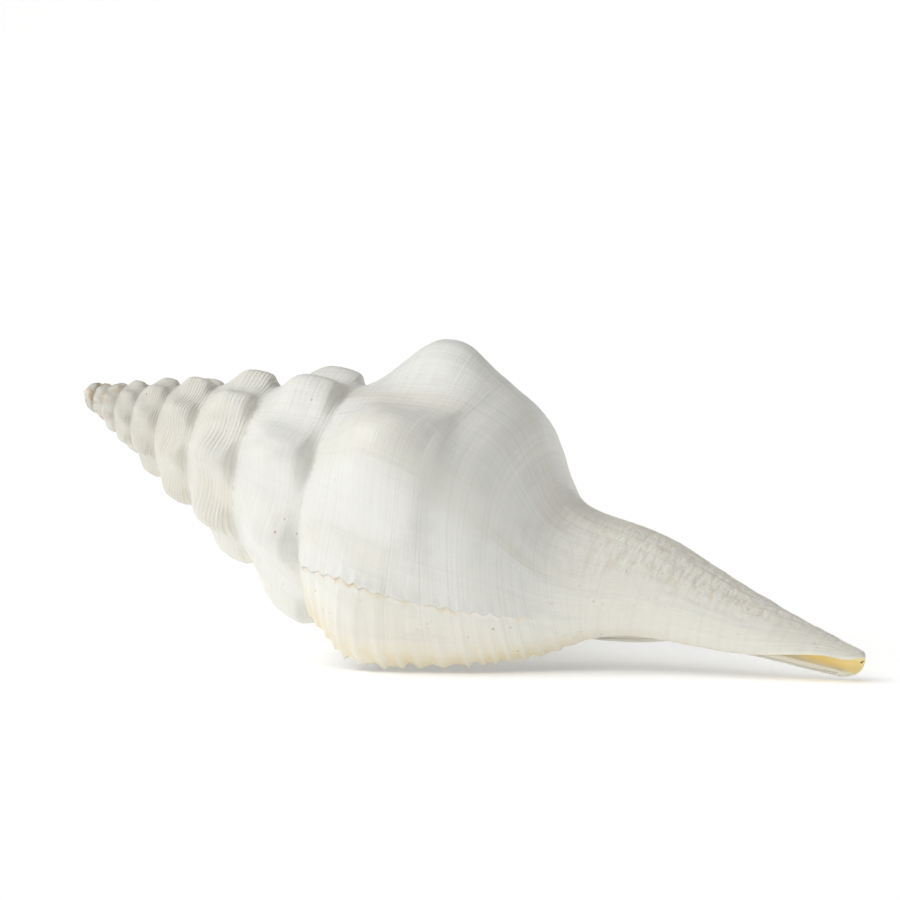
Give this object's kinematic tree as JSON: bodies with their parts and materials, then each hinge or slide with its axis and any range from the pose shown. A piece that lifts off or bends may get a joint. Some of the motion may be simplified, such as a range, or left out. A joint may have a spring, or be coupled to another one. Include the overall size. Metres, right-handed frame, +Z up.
{
  "type": "conch shell",
  "caption": "Large right-handed sea snail shell lying on its aperture, with a knobbed spire, a hollow body whorl and a long open siphonal canal.",
  "frame": {"origin": "centre of the bounding box in plan, on the surface that the shell lies on", "axes": "+X from the spire toward the end of the siphonal canal, +Z up, outer lip toward -Y, aperture down"},
  "size_m": [0.2908, 0.1102, 0.1078],
  "materials": {
    "shell": "bleached chalky white shell, satin, with faint growth lines, cream and tan at the lip and a golden channel"
  },
  "bodies": {
    "root": {"shell": "shell"}
  },
  "joints": []
}
